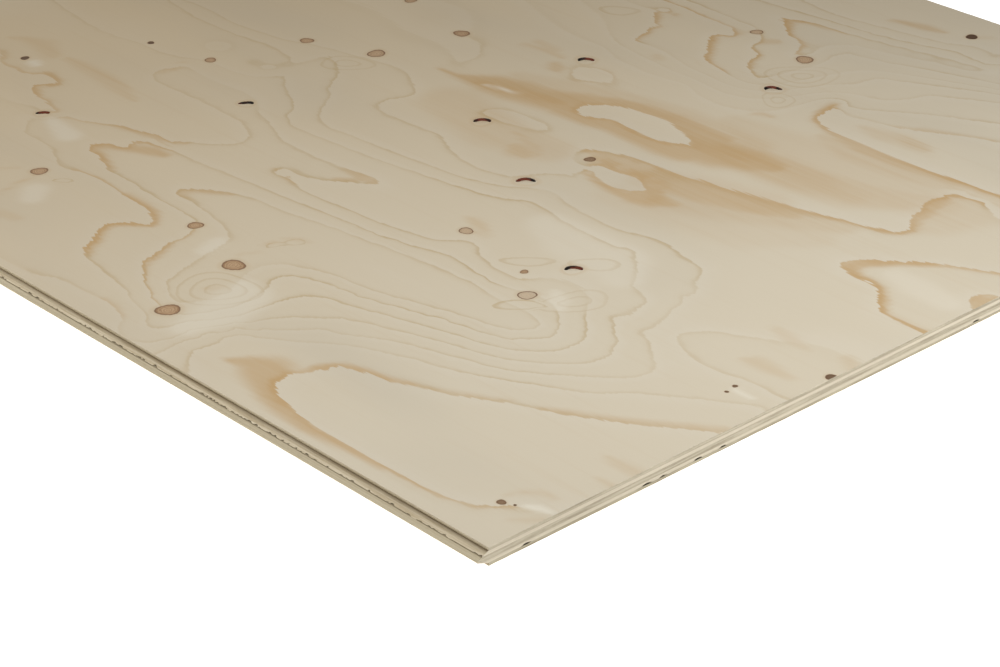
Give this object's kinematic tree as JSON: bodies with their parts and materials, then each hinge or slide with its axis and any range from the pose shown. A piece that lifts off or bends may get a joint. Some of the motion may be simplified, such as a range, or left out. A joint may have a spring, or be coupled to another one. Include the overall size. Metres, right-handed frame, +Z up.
{
  "type": "tongue and groove plywood sheet",
  "caption": "Softwood plywood sheet of crossed, glued veneers, with a tongue along one long edge, a groove along the other and square-cut ends; lies flat as a floor or roof deck.",
  "frame": {"origin": "under the middle of the overall outline, on the back face that the sheet lies on", "axes": "+X along the face grain and the long edges, +Y across the sheet from the tongue to the groove, +Z up, out of the face veneer"},
  "size_m": [2.44, 1.22, 0.018],
  "materials": {
    "face_veneer": "sanded spruce veneer with knots, grain along the sheet",
    "crossband": "raw softwood veneer, grain across the sheet",
    "core_veneer": "raw softwood veneer, grain along the sheet",
    "back_veneer": "unsanded spruce veneer with open knots, grain along the sheet"
  },
  "bodies": {
    "root": {"face_veneer": "face_veneer", "upper_crossband": "crossband", "core_veneer": "core_veneer", "lower_crossband": "crossband", "back_veneer": "back_veneer"}
  },
  "joints": []
}
